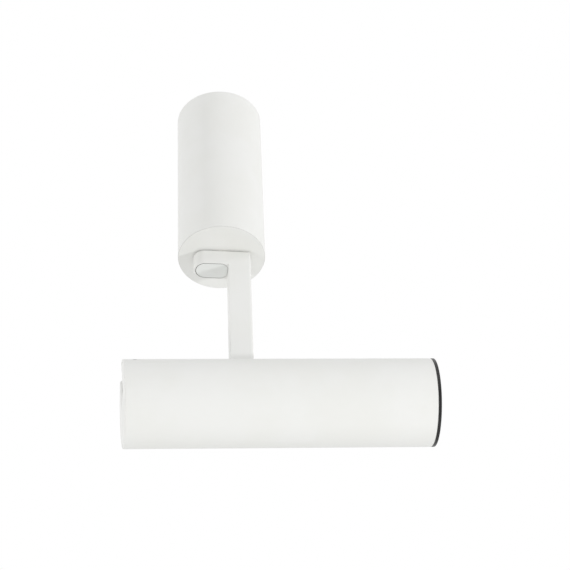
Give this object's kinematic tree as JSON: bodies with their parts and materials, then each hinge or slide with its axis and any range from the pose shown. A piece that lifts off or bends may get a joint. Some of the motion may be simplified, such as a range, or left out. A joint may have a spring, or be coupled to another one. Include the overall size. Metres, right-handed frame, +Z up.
{
  "type": "ceiling spotlight",
  "caption": "Ceiling spotlight with a round canopy, a swivelling bar arm and a slotted tube head that tilts from level to straight down.",
  "frame": {"origin": "centre of the canopy's ceiling face, between the two fixing slots", "axes": "+Z up into the ceiling, +X towards the head's front end at rest, Y along the tilt pin"},
  "size_m": [0.2139, 0.062, 0.3181],
  "materials": {
    "white_paint": "fine matt white powder coat on aluminium",
    "white_plastic": "moulded white plastic, satin",
    "black_paint": "black anodised aluminium, satin",
    "zinc_steel": "bright zinc plated steel",
    "brass": "turned brass",
    "nylon": "natural nylon",
    "driver_plastic": "moulded polycarbonate case",
    "aluminium": "plain extruded and cast aluminium",
    "mirror_aluminium": "spun bright anodised aluminium",
    "board_white": "white solder mask on a metal core board",
    "ceramic": "white ceramic chip base",
    "phosphor": "yellow phosphor under silicone",
    "holder_plastic": "moulded white holder",
    "silicone": "dark silicone ring",
    "clear_glass": "clear tempered glass"
  },
  "bodies": {
    "canopy": {"ceiling_plate": "zinc_steel", "canopy_cup": "white_paint", "canopy_screws": "zinc_steel", "earth_screw": "brass", "swivel_plate": "zinc_steel", "swivel_bush": "nylon", "thrust_washer": "nylon", "stop_pin": "zinc_steel", "driver_bracket": "zinc_steel", "bracket_screws": "zinc_steel", "driver_case": "driver_plastic", "fixing_screws": "zinc_steel", "terminal_block": "nylon", "terminal_screws": "brass"},
    "swivel_arm": {"arm": "white_paint", "pocket_cover": "white_plastic", "swivel_shaft": "zinc_steel", "stop_washer": "zinc_steel", "swivel_spring": "zinc_steel", "swivel_nut": "zinc_steel", "tilt_bush": "brass"},
    "head": {"head_tube": "white_paint", "rear_cap": "white_paint", "rear_cap_screws": "zinc_steel", "hinge_yoke": "aluminium", "yoke_screws": "zinc_steel", "tilt_bolt": "zinc_steel", "friction_washers": "nylon", "tilt_spring": "zinc_steel", "tilt_nut": "zinc_steel", "heat_sink": "aluminium", "sink_screws": "zinc_steel", "led_board": "board_white", "led_chip": "ceramic", "led_phosphor": "phosphor", "led_holder": "holder_plastic", "board_screws": "zinc_steel", "reflector": "mirror_aluminium", "glass_seal": "silicone", "front_glass": "clear_glass", "front_ring": "black_paint"}
  },
  "joints": [
    {"name": "pan", "type": "hinge", "parent": "canopy", "child": "swivel_arm", "pos_m": [0, 0, -0.1458], "axis": [0, 0, 1], "range_deg": [-160, 160]},
    {"name": "tilt", "type": "hinge", "parent": "swivel_arm", "child": "head", "pos_m": [0.0121, 0, -0.2714], "axis": [0, 1, 0], "range_deg": [-1.7, 93.3]}
  ]
}
